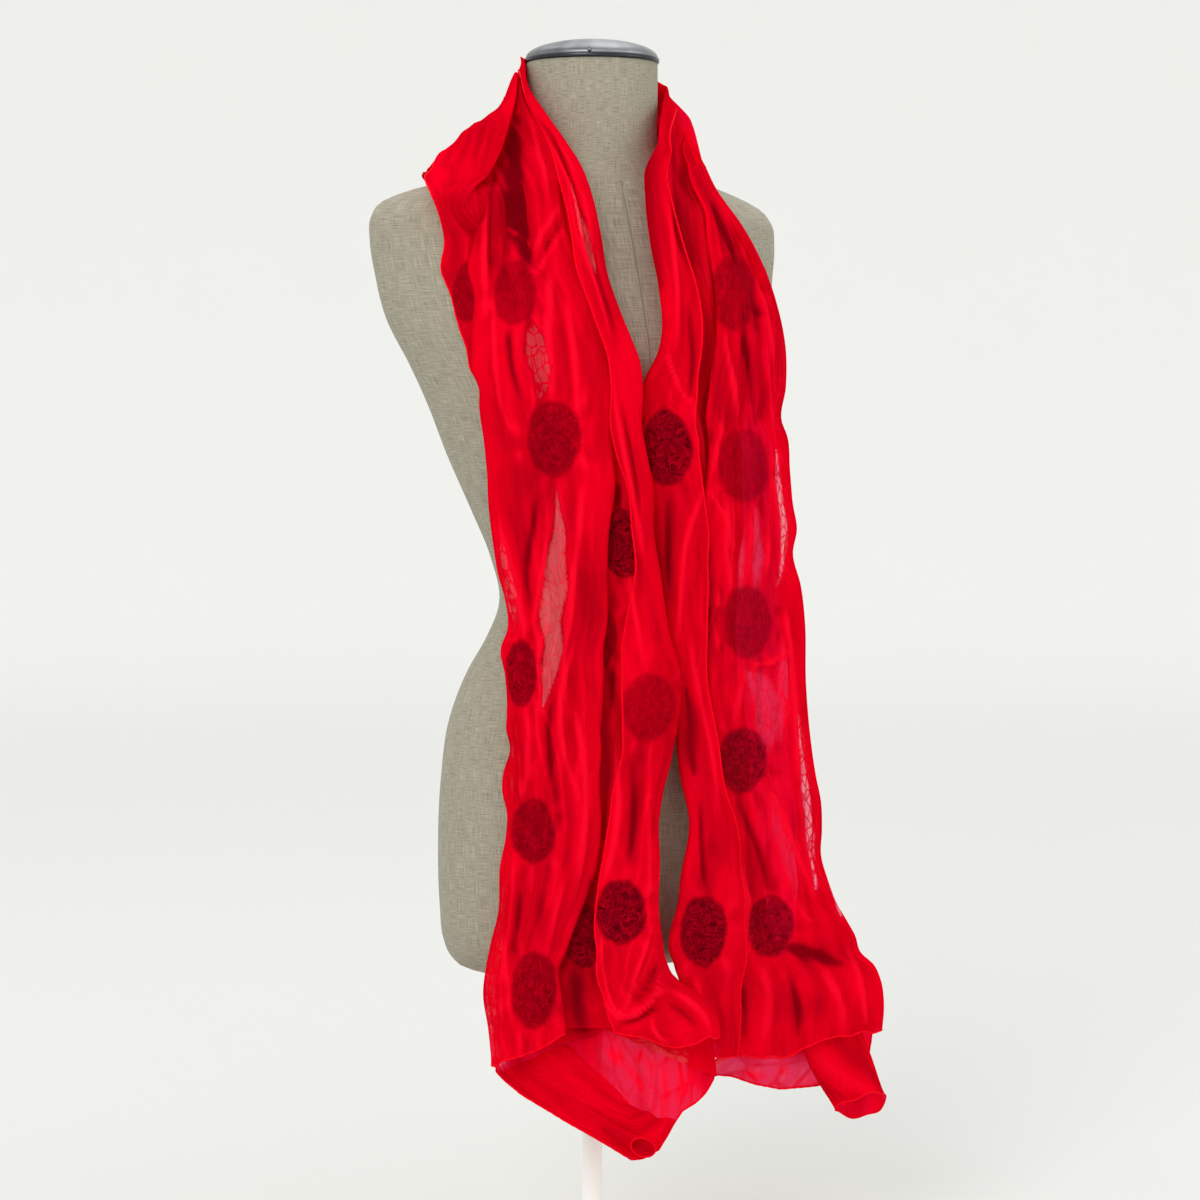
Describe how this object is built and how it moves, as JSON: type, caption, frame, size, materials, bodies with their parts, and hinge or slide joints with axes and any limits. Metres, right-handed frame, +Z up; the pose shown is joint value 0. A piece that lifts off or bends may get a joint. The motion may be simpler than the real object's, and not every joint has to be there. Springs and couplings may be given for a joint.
{
  "type": "felted silk scarf on a limbless dress form with its stand",
  "caption": "Sheer silk scarf with felted wool dots, hung round the neck of a slim limbless dress form that stands on a pole and a round base.",
  "frame": {"origin": "centre of the flat underside of the round base", "axes": "+Z up along the pole, -Y the way the dress form faces, +X to its left-hand side"},
  "size_m": [0.4592, 0.3252, 1.0863],
  "materials": {
    "silk": "sheer silk chiffon",
    "felt": "felted wool",
    "linen": "plain woven linen",
    "metal": "dark, brushed",
    "stand": "satin, off-white"
  },
  "bodies": {
    "root": {"form_body": "linen", "neck_cap": "metal", "stand_base": "stand", "stand_pole": "stand", "scarf_left": "silk", "scarf_neck": "silk", "scarf_right": "silk", "hem_turn_left": "silk", "corner_curl_right": "silk", "felt_dot_01": "felt", "felt_dot_02": "felt", "felt_dot_03": "felt", "felt_dot_04": "felt", "felt_dot_05": "felt", "felt_dot_06": "felt", "felt_dot_07": "felt", "felt_dot_08": "felt", "felt_dot_09": "felt", "felt_dot_10": "felt", "felt_dot_11": "felt", "felt_dot_12": "felt", "felt_dot_13": "felt", "felt_dot_14": "felt", "felt_dot_15": "felt", "felt_dot_16": "felt", "felt_dot_17": "felt", "felt_dot_18": "felt", "felt_dot_19": "felt", "felt_dot_20": "felt", "felt_dot_21": "felt"}
  },
  "joints": []
}
